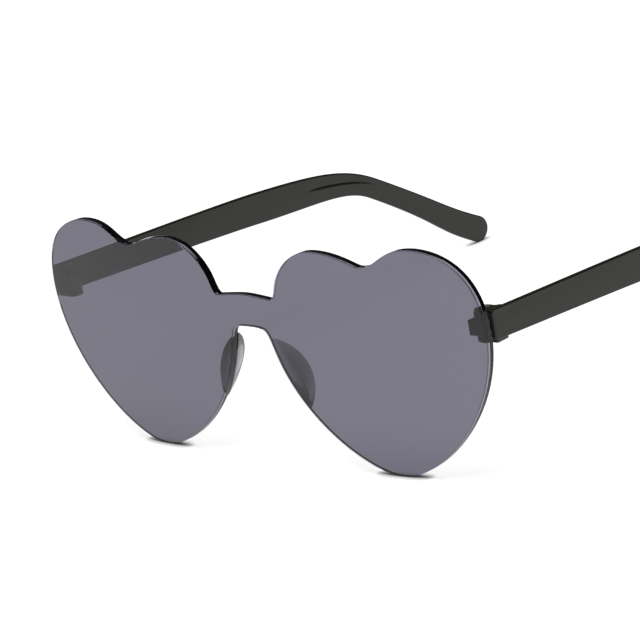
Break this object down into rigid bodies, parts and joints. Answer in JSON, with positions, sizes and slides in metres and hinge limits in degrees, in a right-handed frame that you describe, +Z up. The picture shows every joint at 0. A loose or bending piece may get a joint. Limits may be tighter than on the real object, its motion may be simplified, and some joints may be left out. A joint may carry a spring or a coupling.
{
  "type": "heart shaped sunglasses",
  "caption": "Rimless heart shaped sunglasses with a tinted shield lens, bonded nose pads and hinge blocks, and folding temples that curve down behind the ears.",
  "frame": {"origin": "below the middle of the glasses, at the height of the surface that the heart tips and the temple tips stand on", "axes": "+Z up, -Y out of the front of the lens, +X towards the wearer's left"},
  "size_m": [0.1514, 0.1496, 0.056],
  "materials": {
    "lens_tint": "polished smoke grey polycarbonate with a slight violet tint",
    "pad_clear": "clear grey soft plastic",
    "smoke_plastic": "dark smoke moulded plastic, smooth",
    "screw_steel": "plated steel"
  },
  "bodies": {
    "front": {"lens": "lens_tint", "nose_pad_left": "pad_clear", "nose_pad_right": "pad_clear", "end_piece_left": "smoke_plastic", "end_piece_right": "smoke_plastic"},
    "temple_left": {"temple_left": "smoke_plastic", "hinge_screw_left": "screw_steel"},
    "temple_right": {"temple_right": "smoke_plastic", "hinge_screw_right": "screw_steel"}
  },
  "joints": [
    {"name": "temple_left_fold", "type": "hinge", "parent": "front", "child": "temple_left", "pos_m": [0.0714, -0.06545, 0.0378], "axis": [0, 0, 1], "range_deg": [0, 90]},
    {"name": "temple_right_fold", "type": "hinge", "parent": "front", "child": "temple_right", "pos_m": [-0.0714, -0.06545, 0.0378], "axis": [0, 0, -1], "range_deg": [0, 86.5]}
  ]
}
